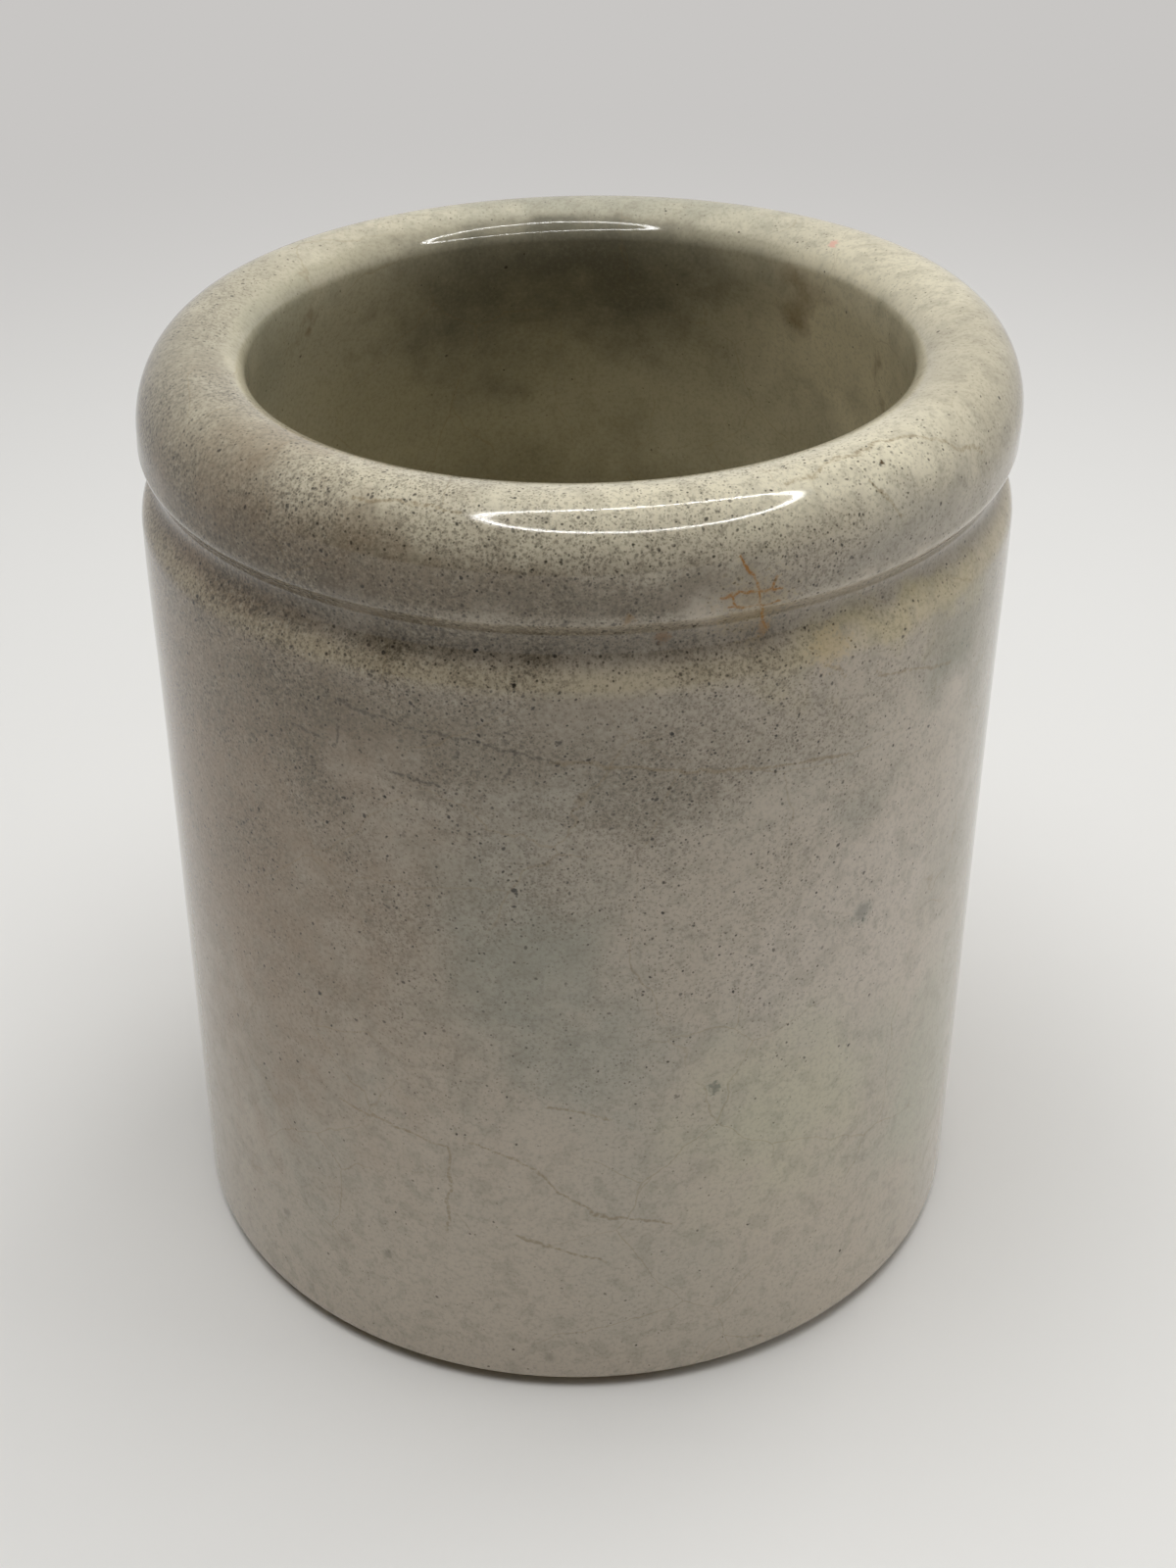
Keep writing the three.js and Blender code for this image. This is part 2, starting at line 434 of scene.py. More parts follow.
# %% [markdown]
# ## The glaze: stains, and painted light and shade
#
# Old jars stain unevenly: fat and damp creep into the clay through the crazed glaze. Each stain is a soft
# patch with a ragged edge. They could be painted on a texture, but a few named places are easier to move, so
# each one is an oval of a given width and height, set at an angle from the front, a distance from the axis
# and a height, and two sizes of noise push its edge about. Some ovals are painted light and shade, not
# stains: a pale patch of painted light on the right, painted shade over a brown stain on the left, and
# painted shade with a dark stain under the lip at the back.

# %% How to lay a stain, or a patch of painted light or shade
PATCH_CLOUD = 9.0
PATCH_RAGGED = 10.0  # how far the noise pushes an edge, in millimetres
NUDGE = 0.25  # share of that push which a narrow stain gets
PATCH_CLOUDED = 0.8  # how far small clouds shift an edge, in half widths
PATCH_EDGE = 1.7  # where a patch ends and where it is full, in half widths too
PATCH_CORE = 0.5
MID_NOISE = (0.5, 0.5, 0.5)  # the middle of a noise colour

patch_noise = add(skin, "TexNoise", {"Vector": place, "Scale": 1 / PATCH_CLOUD, "Detail": 4.0}, out="Color")
patch_push = add(skin, "VectorMath", {0: patch_noise, 1: MID_NOISE}, operation="SUBTRACT")
patch_push = add(skin, "VectorMath", {0: patch_push, "Scale": 2 * PATCH_RAGGED}, operation="SCALE")
pushed = add(skin, "VectorMath", {0: place, 1: patch_push}, operation="ADD")
nudged = add(skin, "VectorMath", {0: patch_push, 1: (NUDGE,) * 3, 2: place}, operation="MULTIPLY_ADD")


def on_jar(angle, out_from_axis, height):
    """Point at an angle from the front, a distance from the axis and a height."""
    turned = math.radians(angle)
    return (out_from_axis * math.sin(turned), -out_from_axis * math.cos(turned), height)


def stained_and_shaded(under, oval_rows, where, spread=pushed):
    """Lays soft ragged ovals over a colour, as far as the mask allows."""
    for angle, out_from_axis, height, half_width, half_height, tint, strength in oval_rows:
        centre = on_jar(angle, out_from_axis, height)
        shrink = (1 / half_width, 1 / half_width, 1 / half_height)
        offset = add(skin, "VectorMath", {0: spread, 1: centre}, operation="SUBTRACT")
        offset = add(skin, "VectorMath", {0: offset, 1: shrink}, operation="MULTIPLY")
        reach = add(skin, "VectorMath", {0: offset}, operation="LENGTH", out="Value")
        reach = add(skin, "Math", {0: small_cloud, 1: PATCH_CLOUDED, 2: reach}, operation="MULTIPLY_ADD")
        soft_edge = {"From Min": PATCH_EDGE, "From Max": PATCH_CORE, "To Max": strength}
        cover = add(skin, "MapRange", {"Value": reach, **soft_edge}, **SMOOTH)
        cover = add(skin, "Math", {0: cover, 1: where}, operation="MULTIPLY")
        under = add(skin, "Mix", {0: cover, MIX_A: under, MIX_B: colour(tint)}, **RGBA)
    return under


print("Edges wander by up to", PATCH_RAGGED, "mm")

# %% Lay the stains, with a few patches of painted light and shade
OUTSIDE_STAINS_AND_PAINTED_LIGHT = (
    # angle, distance from the axis, height, half width, half height, colour, strength
    (-58, 42.5, 60, 37, 44, "#967b5e", 0.68),  # brown stain with painted shade over it, left of the front
    (-15, 42.5, 76, 32, 7, "#8f836f", 0.65),  # grey, under the shoulder
    (-33, 42.5, 75, 14, 7, "#75654f", 0.50),  # and darker, on its left
    (-8, 42.5, 52, 11, 14, "#9a9c8d", 0.62),  # grey-green cloud on the front
    (3, 42.5, 40, 10, 9, "#a6a89b", 0.45),  # its lower half
    (50, 42.5, 75, 7, 5, "#8b8d7c", 0.60),  # green-grey, upper right
    (56, 42.5, 79, 9, 10, "#8a8468", 0.55),  # olive, beside it
    (40, 42.5, 50, 16, 20, "#dacfc3", 0.50),  # painted light, a pale patch on the right
    (30, 42.5, 32, 12, 15, "#d2d1ae", 0.38),  # yellow-green, lower right
    (60, 42.5, 24, 11, 17, "#b7baa5", 0.50),  # pale green-grey, beside it
    (84, 42.5, 60, 21, 45, "#9c9580", 0.80),  # duller, round the right side
    (40, 42.5, 65, 6, 4, "#8f9180", 0.35),  # faint green-grey below the upper one
    (40, 42.3, 83, 14, 2.8, "#d6c78f", 0.50),  # yellow, on the right shoulder
    (-20, 42.2, 89.5, 38, 5.5, "#786b54", 0.70),  # darker, on the rim's face
    (2, 42.2, 89.5, 13, 4, "#6b5f4c", 0.45),  # darker, at the front
    (-48, 42.0, 92, 27, 8, "#745f46", 0.70),  # rusty brown, on its left
    (45, 42.0, 91, 18, 4, "#a09c90", 0.50),  # grey, on its right
    (180, 20.0, 97, 55, 12, "#cfc7ae", 0.60),  # dull, over the back half of the rim
    (-100, 38.0, 97, 34, 8, "#a8a18c", 0.65),  # duller, over its left
    (-76, 38.0, 97, 16, 8, "#8f8977", 0.45),
    (74, 38.0, 97, 20, 8, "#b0a78f", 0.60),  # and its right
    (178, 37.0, 97, 26, 6, "#9c9c8c", 0.70),  # and its middle
    (146, 42.5, 58, 22, 24, "#a2947f", 0.50),  # soft clouds down the back
    (-148, 42.5, 34, 18, 13, "#a9a799", 0.50),
    (-166, 42.5, 72, 15, 9, "#9a8d78", 0.45),
)
INSIDE_STAINS_AND_PAINTED_SHADE = (
    # the same columns
    (-150, 34.0, 72, 40, 17, "#a39b78", 0.60),  # olive, deep down
    (180, 35.0, 62, 40, 11, "#776f50", 0.65),  # and deeper
    (118, 32.5, 88, 20, 12, "#f0e6c8", 0.85),  # pale, on the right
    (-170, 32.0, 89, 30, 14, "#5f5b47", 0.42),  # a broad dark stain with painted shade, under the lip at the back
    (178, 32.0, 92, 24, 12, "#3a3a30", 0.62),  # and its dark middle, a stain with painted shade
    (0, 0.0, 8, 26, 9, "#a39a78", 0.55),  # a dull pool on the floor
    (-105, 32.0, 90, 12, 14, "#8b8c7a", 0.50),  # grey-green, left
    (-121, 31.9, 92.6, 1.4, 3, "#6b5233", 0.60),  # brown smear, left
    (130, 32.3, 91.2, 5, 2.5, "#866a42", 0.55),  # brown smears, right
    (113, 33.5, 85, 1.6, 5, "#866a42", 0.55),
)
ground = stained_and_shaded(ground, OUTSIDE_STAINS_AND_PAINTED_LIGHT, outside)
ground = stained_and_shaded(ground, INSIDE_STAINS_AND_PAINTED_SHADE, inside)
print(len(OUTSIDE_STAINS_AND_PAINTED_LIGHT), "stains outside,", len(INSIDE_STAINS_AND_PAINTED_SHADE), "inside")

# %% [markdown]
# ## The glaze: the groove, with painted shade and painted light
#
# The string groove is grey-brown all the way round: dirt, with painted shade where it turns away from the
# light. The shoulder below it faces up, and its paler yellowish band is painted light. On the edge above the
# groove, where the rim turns under, a pale line is a painted highlight. All three could be painted on a
# texture, but they follow the form, so they are keyed to height, less its tilt.

# %% Dirt and painted shade in the groove, painted light on the edges beside it
BANDS = (
    # middle height, half height, colour, strength
    (86.6, 2.7, "#7f7461", 0.56),  # grey-brown dirt and painted shade in the groove
    (82.8, 1.8, "#d6c8a6", 0.50),  # painted light, a paler yellowish band on the upturned shoulder
    (88.5, 1.2, "#d0c5b2", 0.60),  # painted highlight, a pale line on the edge above the groove
)
BAND_CORE = 0.3  # half height that has the full strength

level = add(skin, "Math", {0: x, 1: -TILT_AT_GROOVE, 2: z}, operation="MULTIPLY_ADD")
for middle, half_height, tint, strength in BANDS:
    away = add(skin, "Math", {0: level, 1: middle}, operation="SUBTRACT")
    away = add(skin, "Math", {0: away}, operation="ABSOLUTE")
    band = {"From Min": half_height, "From Max": BAND_CORE, "To Max": strength}
    cover = add(skin, "MapRange", {"Value": away, **band}, **SMOOTH)
    cover = add(skin, "Math", {0: cover, 1: outside}, operation="MULTIPLY")
    ground = add(skin, "Mix", {0: cover, MIX_A: ground, MIX_B: colour(tint)}, **RGBA)
print(len(BANDS), "bands round the jar, at heights", [row[0] for row in BANDS], "mm")

# %% Darker and rustier places in the groove
GROOVE_STAINS = (
    # angle, distance from the axis, height, half width, half height, colour, strength
    (-38, 41.3, 87.6, 19, 2.4, "#544a3d", 0.62),  # dark, in the left of the groove
    (-52, 41.0, 85.2, 13, 2.2, "#a5835c", 0.62),  # rusty, below it
)
ground = stained_and_shaded(ground, GROOVE_STAINS, outside, spread=nudged)
print(len(GROOVE_STAINS), "stains in the groove")

# %% [markdown]
# ## The glaze: iron specks
#
# Iron grains in the clay bleed through the glaze as dark pepper, thickest on the left of the rim and fading
# down the wall. Dots could be scattered on the surface, but real grains lie all through the clay, and the
# surface cuts through some of them. A 3-D Voronoi pattern does just that: each cell holds one grain at a
# random point, and the surface shows it only where it passes close by, so the specks come out in many sizes.
# Two random numbers of the cell decide whether it holds a grain at all and how dark that is, and the chance
# follows the thickness of the pepper. Between the specks a fine mottle of paler and darker glaze keeps the
# ground alive, and it frays the specks' edges too. Soft grey blooms, two millimetres wide, lie below both.

# %% Where the pepper lies
PEPPER_MIDDLE = math.radians(-40)
PEPPER_FROM = 20.0  # heights between which the pepper thickens
PEPPER_FULL = 85.0
PEPPER_RISE = 1.6  # a power: the pepper thickens faster further up
PEPPER_LEAST = 0.02  # lowest on the wall
PEPPER_INSIDE = 0.08

from_middle = add(skin, "Math", {0: front_angle, 1: PEPPER_MIDDLE}, operation="SUBTRACT")
facing = add(skin, "Math", {0: from_middle}, operation="COSINE")
away_to_facing = {"From Min": -0.1, "To Min": 0.18, "To Max": 1.30}
sideways = add(skin, "MapRange", {"Value": facing, **away_to_facing})
upwards = add(skin, "MapRange", {"Value": z, "From Min": PEPPER_FROM, "From Max": PEPPER_FULL})
upwards = add(skin, "Math", {0: upwards, 1: PEPPER_RISE}, operation="POWER")
upwards = add(skin, "Math", {0: upwards, 1: PEPPER_LEAST}, operation="MAXIMUM")
crown_to_face = {"From Min": 100.0, "From Max": 94.0, "To Min": 0.55}
off_crest = add(skin, "MapRange", {"Value": girth, **crown_to_face}, **SMOOTH)
clump = add(skin, "SeparateColor", {0: patch_noise}, out="Blue")
sparse_to_dense = {"From Min": 0.32, "From Max": 0.68, "To Min": 0.25, "To Max": 1.6}
clump = add(skin, "MapRange", {"Value": clump, **sparse_to_dense})
fewer_inside = add(skin, "MapRange", {"Value": inside, "To Min": 1.0, "To Max": PEPPER_INSIDE})
pepper = sideways
for share in (upwards, off_crest, clump, fewer_inside):
    pepper = add(skin, "Math", {0: pepper, 1: share}, operation="MULTIPLY")
print("Pepper is thickest", round(math.degrees(PEPPER_MIDDLE)), "degrees from the front")

# %% Grey blooms and a veil under the pepper
BLOOM = 1.9
BLOOM_GREY = "#8e8876"
VEIL_GREY = "#897d69"
VEIL_IN_PEPPER = 0.32

bloom = add(skin, "TexNoise", {"Vector": nudged, "Scale": 1 / BLOOM, "Detail": 2.0}, out="Fac")
patches = {"From Min": 0.46, "From Max": 0.68, "To Max": 0.26}
bloom = add(skin, "MapRange", {"Value": bloom, **patches}, **SMOOTH)
bloom = add(skin, "Math", {0: bloom, 1: outside}, operation="MULTIPLY")
ground = add(skin, "Mix", {0: bloom, MIX_A: ground, MIX_B: colour(BLOOM_GREY)}, **RGBA)
veil = add(skin, "Math", {0: pepper, 1: VEIL_IN_PEPPER}, operation="MULTIPLY", use_clamp=True)
ground = add(skin, "Mix", {0: veil, MIX_A: ground, MIX_B: colour(VEIL_GREY)}, **RGBA)
print("Blooms of", BLOOM, "mm")

# %% A fine mottle under the specks
MOTTLE = 0.42
MOTTLE_DARK = "#4f483b"
MOTTLE_PALE = "#e0d8c2"
MOTTLE_EVERYWHERE = 0.16
MOTTLE_IN_PEPPER = 0.34

grainy = {"Vector": place, "Scale": 1 / MOTTLE, "Detail": 3.0, "Roughness": 0.65}
mottle = add(skin, "TexNoise", grainy, out="Fac")
by_pepper = {0: pepper, 1: MOTTLE_IN_PEPPER, 2: MOTTLE_EVERYWHERE}
amount = add(skin, "Math", by_pepper, operation="MULTIPLY_ADD", use_clamp=True)
darker = add(skin, "MapRange", {"Value": mottle, "From Min": 0.47, "From Max": 0.66}, **SMOOTH)
darker = add(skin, "Math", {0: darker, 1: amount}, operation="MULTIPLY")
ground = add(skin, "Mix", {0: darker, MIX_A: ground, MIX_B: colour(MOTTLE_DARK)}, **RGBA)
paler = add(skin, "MapRange", {"Value": mottle, "From Min": 0.48, "From Max": 0.32, "To Max": 0.4}, **SMOOTH)
paler = add(skin, "Math", {0: paler, 1: amount}, operation="MULTIPLY")
ground = add(skin, "Mix", {0: paler, MIX_A: ground, MIX_B: colour(MOTTLE_PALE)}, **RGBA)
print("Mottle of", MOTTLE, "mm")

# %% Four sizes of speck
SPECKS = (
    # spacing, largest radius, share of cells with a grain, colour, strength
    (0.31, 0.13, 0.90, "#544d3f", 0.60),  # fine dust, drawn a little coarse so that it shows
    (0.50, 0.16, 0.80, "#2f2a22", 0.90),  # dark specks
    (0.95, 0.23, 0.58, "#2b251d", 0.95),  # larger ones
    (1.90, 0.27, 0.45, "#25211b", 1.00),  # the largest grains
)
SPECK_RAGGED = 0.5  # how far the mottle pushes a speck's edge, in spacings
SPECK_CORE = 0.35  # share of the radius that is fully dark
FAINTEST_SPECK = 0.35
LINE_BEND = 2.5  # size of the noise that bends specks and hairlines
SPECK_WANDER = 0.8  # how far that noise moves a speck, in millimetres

mottle_swing = add(skin, "Math", {0: mottle, 1: MID_NOISE[0]}, operation="SUBTRACT")
line_noise = add(skin, "TexNoise", {"Vector": place, "Scale": 1 / LINE_BEND, "Detail": 3.0}, out="Color")
line_push = add(skin, "VectorMath", {0: line_noise, 1: MID_NOISE}, operation="SUBTRACT")
bent = {0: line_push, 1: (SPECK_WANDER,) * 3, 2: place}
speck_place = add(skin, "VectorMath", bent, operation="MULTIPLY_ADD")
for spacing, largest, share, tint, strength in SPECKS:
    cells = {"Vector": speck_place, "Scale": 1 / spacing}
    gap, chance = add(skin, "TexVoronoi", cells, out=("Distance", "Color"))
    gap = add(skin, "Math", {0: mottle_swing, 1: SPECK_RAGGED, 2: gap}, operation="MULTIPLY_ADD")
    first, second = add(skin, "SeparateColor", {0: chance}, out=("Red", "Green"))
    enough = add(skin, "Math", {0: pepper, 1: share}, operation="MULTIPLY")
    holds = add(skin, "Math", {0: first, 1: enough}, operation="LESS_THAN")
    darkness = add(skin, "MapRange", {"Value": second, "To Min": FAINTEST_SPECK, "To Max": strength})
    edge_and_core = {"From Min": largest / spacing, "From Max": SPECK_CORE * largest / spacing}
    grain = add(skin, "MapRange", {"Value": gap, **edge_and_core}, **SMOOTH)
    grain = add(skin, "Math", {0: grain, 1: holds}, operation="MULTIPLY")
    grain = add(skin, "Math", {0: grain, 1: darkness}, operation="MULTIPLY")
    ground = add(skin, "Mix", {0: grain, MIX_A: ground, MIX_B: colour(tint)}, **RGBA)
print(len(SPECKS), "sizes of speck, spaced", [row[0] for row in SPECKS], "mm")

# %% [markdown]
# ## The glaze: crazing
#
# Glaze shrinks more than clay as a pot cools, so in time it cracks into a net of hairlines, which show where
# dirt or rust has got into them. A Voronoi net gives faint lines all over, but the few that catch the eye
# are drawn one by one on the unrolled outside: the shader measures how far each point lies from a line.

# %% Measure the distance to hairlines
LINE_RAGGED = 1.8  # how far the same noise moves a hairline
FLAT = (1.0, 1.0, 0.0)  # keeps the two lengths of the unrolled outside

line_push = add(skin, "VectorMath", {0: line_push, "Scale": LINE_RAGGED}, operation="SCALE")
line_sheet = add(skin, "VectorMath", {0: unrolled, 1: line_push}, operation="ADD")
line_sheet = add(skin, "VectorMath", {0: line_sheet, 1: FLAT}, operation="MULTIPLY")


def nearest_hairline(lines):
    """Distance, on the unrolled outside, to the closest of several bent lines of (angle, girth) points."""
    closest = None
    for line in lines:
        points = [np.array([math.radians(angle) * WALL_RADIUS, up, 0.0]) for angle, up in line]
        for start, end in zip(points, points[1:]):
            span = end - start
            along = span / span.dot(span)
            offset = add(skin, "VectorMath", {0: line_sheet, 1: start}, operation="SUBTRACT")
            share = add(skin, "VectorMath", {0: offset, 1: along}, operation="DOT_PRODUCT", out="Value")
            share = add(skin, "Clamp", {"Value": share})
            foot = add(skin, "VectorMath", {0: span, "Scale": share}, operation="SCALE")
            gap = add(skin, "VectorMath", {0: offset, 1: foot}, operation="DISTANCE", out="Value")
            closest = gap if closest is None else add(skin, "Math", {0: closest, 1: gap}, operation="MINIMUM")
    return closest


print("Hairlines wander by up to", LINE_RAGGED, "mm")

# %% Draw the hairlines
# Each line is a row of points: angle from the front, length up the unrolled outside
CRAZE_LINES = (
    ((-3, 75.5), (5, 74.8), (15, 73.6), (34, 71.5)),
    ((30, 81.6), (33, 80.2)),
    ((38, 78.8), (41, 78.2), (53, 75.5)),
    ((26, 98.6), (34, 99.7), (46, 99.4), (51, 97.5), (58, 95)),
    ((37, 97.1), (40.6, 93.8)),
    ((-28, 98.1), (-14, 98.3)),
    ((-33, 32), (-16.6, 30.2), (-17.5, 19)),
    ((-13.5, 31.1), (-7.8, 30.1), (2, 23.4), (13, 21.2)),
    ((-3.6, 36.8), (4.4, 35.3)),
    ((-8, 20), (4, 16.8)),
    ((150, 66), (163, 63.5), (171, 64.4)),
    ((-171, 41), (-160, 38.5), (-152, 39.2), (-141, 36)),
)
DARK_LINES = (
    ((-29, 78.3), (-21, 77.3), (-12.6, 77), (-2.5, 75.5)),
    ((-36, 74.2), (-32, 73.6)),
    ((-29, 76.4), (-30, 73.4)),
    ((-22.5, 72.3), (-16, 71.8)),
    ((-14, 76.6), (-13.9, 75.3)),
    ((-7, 76), (-8.3, 73.3)),
)
RUST_LINES = (
    ((18.4, 94.2), (19, 93), (20.4, 91.6), (21.3, 89.4), (22.8, 85.8)),
    ((20.9, 90.4), (16, 90.3)),
    ((23.4, 88.9), (21.4, 89), (17, 89.3)),
    ((21.2, 90.4), (22.6, 90.3), (23.3, 91.6)),
    ((22.4, 90.4), (24, 90)),
    ((17.4, 90.4), (17.8, 89.2)),
)
HAIRLINES = (
    # lines, half width, colour, strength
    (CRAZE_LINES, 0.25, "#8a7650", 0.45),
    (DARK_LINES, 0.22, "#4c463c", 0.55),
    (RUST_LINES, 0.19, "#9e6814", 0.92),
)
LINE_CORE = 0.3  # share of the half width that is fully dark

faint_to_full = {"From Min": 0.38, "From Max": 0.54, "To Min": 0.3}
broken = add(skin, "MapRange", {"Value": mottle, **faint_to_full})
for lines, half_width, tint, strength in HAIRLINES:
    gap = nearest_hairline(lines)
    edge_and_core = {"From Min": half_width, "From Max": LINE_CORE * half_width, "To Max": strength}
    line = add(skin, "MapRange", {"Value": gap, **edge_and_core})
    line = add(skin, "Math", {0: line, 1: broken}, operation="MULTIPLY")
    line = add(skin, "Math", {0: line, 1: outside}, operation="MULTIPLY")
    ground = add(skin, "Mix", {0: line, MIX_A: ground, MIX_B: colour(tint)}, **RGBA)
print(len(CRAZE_LINES + DARK_LINES + RUST_LINES), "hairlines drawn one by one")

# %% A faint net of crazing all over
NET_SPACING = 15.0
NET_HALF_WIDTH = 0.10
NET_BROWN = "#8f7850"
NET_STRENGTH = 0.3

cells = {"Vector": nudged, "Scale": 1 / NET_SPACING}
net = add(skin, "TexVoronoi", cells, out="Distance", feature="DISTANCE_TO_EDGE")
hairline = {"From Min": NET_HALF_WIDTH / NET_SPACING, "From Max": 0.0, "To Max": NET_STRENGTH}
net = add(skin, "MapRange", {"Value": net, **hairline})
shown = add(skin, "MapRange", {"Value": large_cloud, "From Min": 0.42, "From Max": 0.62}, **SMOOTH)
net = add(skin, "Math", {0: net, 1: shown}, operation="MULTIPLY")
ground = add(skin, "Mix", {0: net, MIX_A: ground, MIX_B: colour(NET_BROWN)}, **RGBA)
print("Crazing cells of", NET_SPACING, "mm")

# %% [markdown]
# ## The glaze: single marks
#
# A pinhole, a few rusty spots and some grey-green blots are single accidents of the kiln and of use. Noise
# could scatter such marks, but the eye knows a jar by them, so each one has its own place, size and colour.
# The hairlines' noise and the mottle fray their edges, so that none is a plain disc.

# %% Single marks
MARKS = (
    # angle, distance from the axis, height, half width, colour, strength
    (40.3, 39.9, 97.6, 0.32, "#4a3410", 0.95),  # pinhole on the right of the crown
    (5.6, 42.3, 88.9, 0.7, "#8a6a38", 0.55),  # rust, in the groove
    (10, 41.0, 86.3, 0.8, "#7d5827", 0.65),
    (22.6, 41.0, 85.8, 0.9, "#a87838", 0.45),
    (20.5, 42.4, 88.4, 4.5, "#a1874f", 0.30),  # faint rust round the hairlines on the rim's face
    (31.0, 42.5, 83.0, 2.6, "#cba95c", 0.20),  # yellow, on the shoulder
    (39.1, 42.5, 52.7, 1.5, "#6c7268", 0.55),  # grey-green blots, down the wall
    (18, 42.5, 37.5, 0.9, "#5f6659", 0.65),
    (-26.6, 42.5, 13.6, 0.8, "#6d6c5c", 0.45),
    (-45.3, 42.5, 11.5, 0.8, "#6d6859", 0.40),
    (-3.8, 42.5, 3.4, 0.9, "#6b6554", 0.35),
    (129.6, 34.6, 97.8, 0.7, "#e0a596", 0.70),  # pink dot on the back of the rim
)
MARK_RAGGED = 2.5  # how far the mottle pushes a mark's edge, in half widths
MARK_WANDER = 0.7  # share of a hairline's movement which a mark gets

bent = {0: line_push, 1: (MARK_WANDER,) * 3, 2: place}
mark_place = add(skin, "VectorMath", bent, operation="MULTIPLY_ADD")
for angle, out_from_axis, height, half_width, tint, strength in MARKS:
    centre = on_jar(angle, out_from_axis, height)
    gap = add(skin, "VectorMath", {0: mark_place, 1: centre}, operation="DISTANCE", out="Value")
    ragged = {0: mottle_swing, 1: MARK_RAGGED * half_width, 2: gap}
    gap = add(skin, "Math", ragged, operation="MULTIPLY_ADD")
    edge_and_core = {"From Min": half_width, "From Max": LINE_CORE * half_width, "To Max": strength}
    cover = add(skin, "MapRange", {"Value": gap, **edge_and_core}, **SMOOTH)
    ground = add(skin, "Mix", {0: cover, MIX_A: ground, MIX_B: colour(tint)}, **RGBA)
print(len(MARKS), "single marks")

# %% [markdown]
# ## The glaze: its gloss
#
# A fired glaze is glass, so its index of refraction is 1.5 and it is nearly mirror smooth. Light still
# wavers on it, because the melt pulled into an orange peel of ripples a millimetre or so wide. A bump of a
# few thousandths of a millimetre is enough, and it also breaks up the edge of the lamp's reflection.

# %% Finish the glaze
GLASS_IOR = 1.5
SMOOTHEST = 0.05
DULLEST = 0.11
PEEL_WIDTH = 1.4
PEEL_DEPTH = 0.004

peel = add(skin, "TexNoise", {"Vector": place, "Scale": 1 / PEEL_WIDTH, "Detail": 1.0}, out="Fac")
ripple = add(skin, "Bump", {"Height": peel, "Distance": PEEL_DEPTH * MM, "Strength": 1.0})
dull = add(skin, "MapRange", {"Value": large_cloud, "To Min": SMOOTHEST, "To Max": DULLEST})
glassy = {"Base Color": ground, "Roughness": dull, "IOR": GLASS_IOR, "Normal": ripple}
surface = add(skin, "BsdfPrincipled", glassy, out="BSDF")
add(skin, "OutputMaterial", {"Surface": surface})
fired_glaze.data.materials.append(glaze)
print(len(skin.nodes), "nodes in the glaze")

# %% [markdown]
# ## The bare clay
#
# Under the foot the fired stoneware is bare: a cream, matt and slightly sandy body, with a warm flush in soft
# patches. One flat colour would look like card, so grit of half a millimetre and darker iron grains break it
# up. They sit at fixed points of the clay, as they do in the real body.

# %% Finish the clay
CLAY_CREAM = "#d0c3a8"
CLAY_FLUSH = "#b8946b"
CLAY_IRON = "#5a4a36"
GRIT = 0.5
GRIT_DEPTH = 0.05
BLUSH = 11.0
IRON_SPACING = 1.6
CLAY_ROUGHNESS = 0.85

# Gives the eye a dry, sandy edge under all the gloss
clay = empty_material("bare_fired_stoneware")
body = clay.node_tree
clay_place = add(body, "TexCoord", out="Object")
clay_place = add(body, "VectorMath", {0: clay_place, "Scale": 1 / MM}, operation="SCALE")
grit = add(body, "TexNoise", {"Vector": clay_place, "Scale": 1 / GRIT, "Detail": 4.0}, out="Fac")
blush = add(body, "TexNoise", {"Vector": clay_place, "Scale": 1 / BLUSH, "Detail": 4.0}, out="Fac")
patches = {"From Min": 0.4, "From Max": 0.75, "To Max": 0.6}
blush = add(body, "MapRange", {"Value": blush, **patches}, **SMOOTH)
tone = add(body, "Mix", {0: blush, MIX_A: colour(CLAY_CREAM), MIX_B: colour(CLAY_FLUSH)}, **RGBA)
grain_gap = add(body, "TexVoronoi", {"Vector": clay_place, "Scale": 1 / IRON_SPACING}, out="Distance")
edge_and_core = {"From Min": 0.16, "From Max": 0.06, "To Max": 0.7}
grain = add(body, "MapRange", {"Value": grain_gap, **edge_and_core}, **SMOOTH)
tone = add(body, "Mix", {0: grain, MIX_A: tone, MIX_B: colour(CLAY_IRON)}, **RGBA)
sandy = add(body, "Bump", {"Height": grit, "Distance": GRIT_DEPTH * MM, "Strength": 1.0})
matt = {"Base Color": tone, "Roughness": CLAY_ROUGHNESS, "IOR": GLASS_IOR, "Normal": sandy}
surface = add(body, "BsdfPrincipled", matt, out="BSDF")
add(body, "OutputMaterial", {"Surface": surface})
thrown_clay.data.materials.append(clay)
print(len(body.nodes), "nodes in the clay, with grit of", GRIT, "mm")

# %% [markdown]
# ## The floor
#
# The jar stands on a sheet of matt white paper. Close by, the paper is plainly lit and keeps the jar's soft
# shadow. Further out it fades to an even pale grey, so that no horizon shows from any side, where a curved
# backdrop would hide it from one side only. That grey shows only to the camera and in reflections, and adds
# no light to the jar.

# %% Lay the paper floor
FLOOR_REACH = 4.0  # metres, like the fade
FADE_FROM = 0.13
FADE_FULL = 0.40
PAPER_WHITE = "#e9e8e5"
BACKDROP_GREY = "#c8c6c4"
LOOKING = ("Is Camera Ray", "Is Glossy Ray", "Is Transmission Ray")


def looking(tree):
    """Picks out the camera's own rays, and all rays that look, mirrored or through glass too."""
    seen, mirrored, through = add(tree, "LightPath", out=LOOKING)
    looked_at = add(tree, "Math", {0: seen, 1: mirrored}, operation="MAXIMUM")
    looked_at = add(tree, "Math", {0: looked_at, 1: through}, operation="MAXIMUM")
    return seen, looked_at


